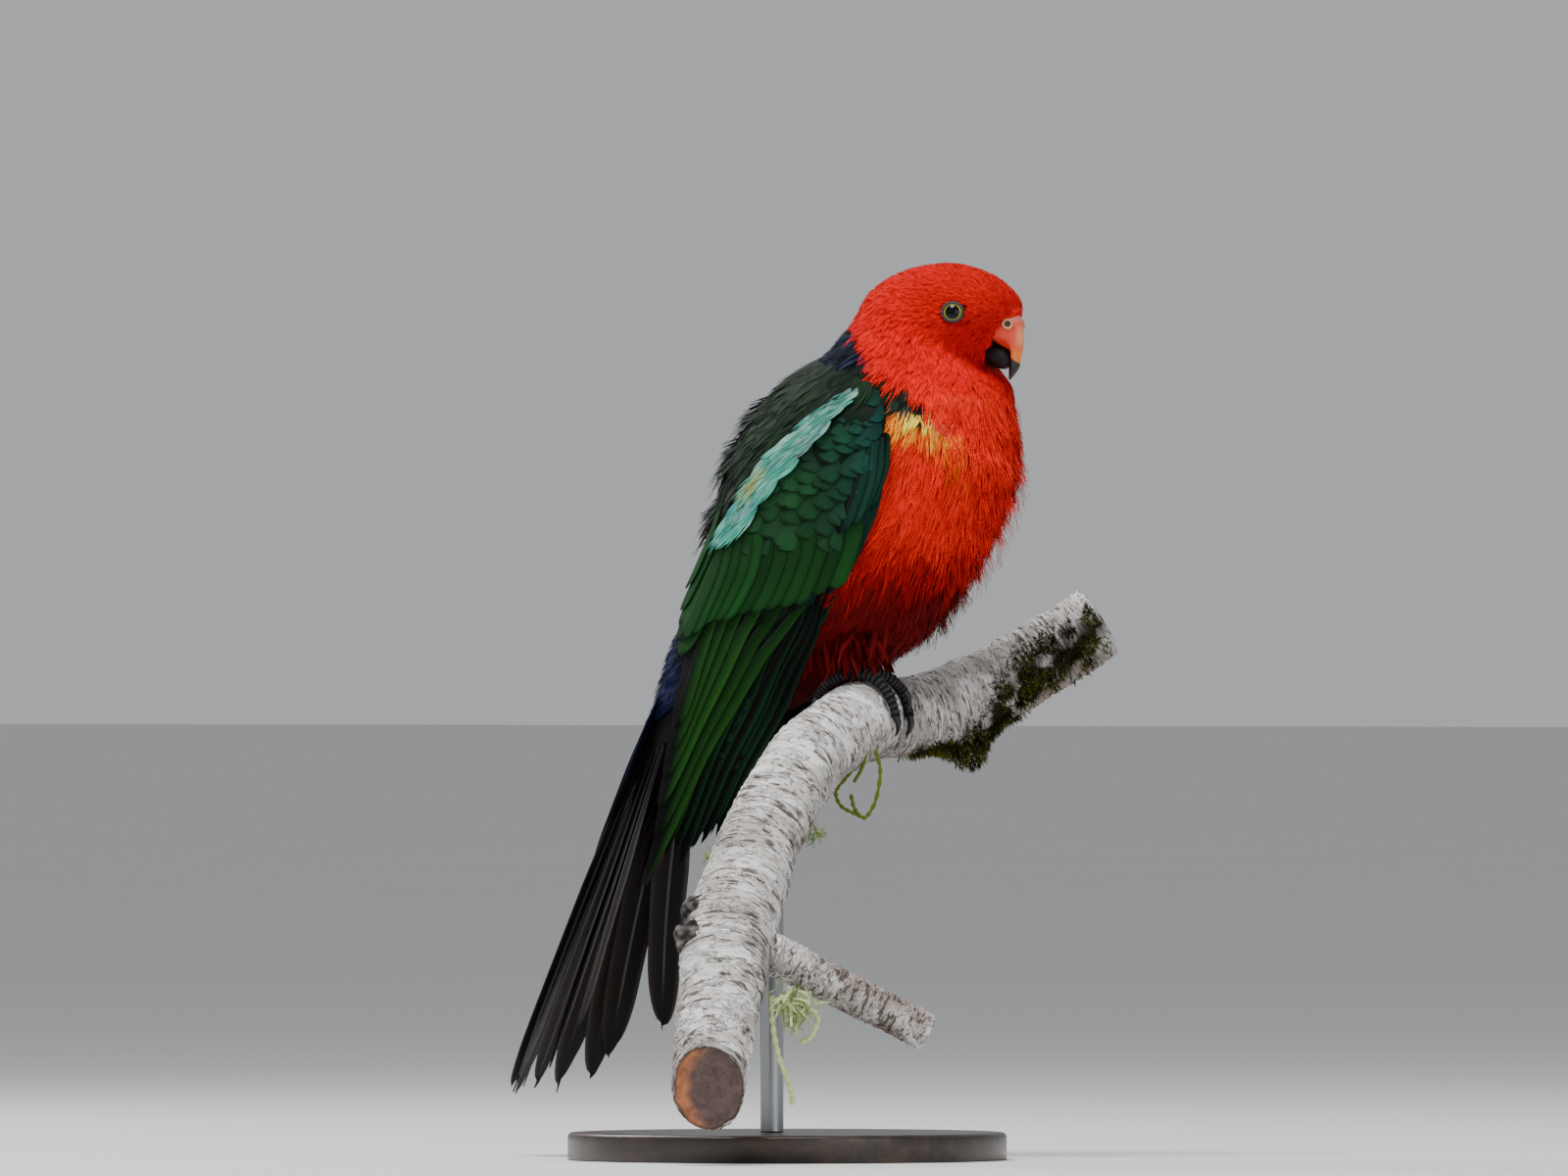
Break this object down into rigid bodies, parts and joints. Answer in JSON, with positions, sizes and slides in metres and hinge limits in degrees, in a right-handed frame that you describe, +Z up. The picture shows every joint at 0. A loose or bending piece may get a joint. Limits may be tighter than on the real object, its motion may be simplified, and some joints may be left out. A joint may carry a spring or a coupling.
{
  "type": "king parrot on a perch with a display stand",
  "caption": "Life-size still model of a male Australian king parrot at rest on a cut length of branch, held by a rod on a round flat base.",
  "frame": {"origin": "centre of the stand base's underside", "axes": "+Z up, the bird faces +X, its right side faces -Y"},
  "size_m": [0.2469, 0.3221, 0.3878],
  "materials": {
    "red_plumage": "soft scarlet feathers, darker on the belly",
    "green_plumage": "silky dark green feathers",
    "black_plumage": "silky black feathers",
    "orange_bill": "satin horn",
    "black_bill": "satin horn",
    "eye": "wet gloss",
    "scaly_skin": "matt scales",
    "bark": "rough pale bark",
    "rod_steel": "brushed",
    "base_wood": "satin"
  },
  "bodies": {
    "root": {"torso": "red_plumage", "neck": "red_plumage", "head": "red_plumage", "bill_upper": "orange_bill", "bill_lower": "black_bill", "eye_left": "eye", "eye_right": "eye", "wing_left": "green_plumage", "wing_right": "green_plumage", "tail": "black_plumage", "leg_left": "scaly_skin", "leg_right": "scaly_skin", "perch": "bark", "stand_rod": "rod_steel", "stand_base": "base_wood"}
  },
  "joints": []
}
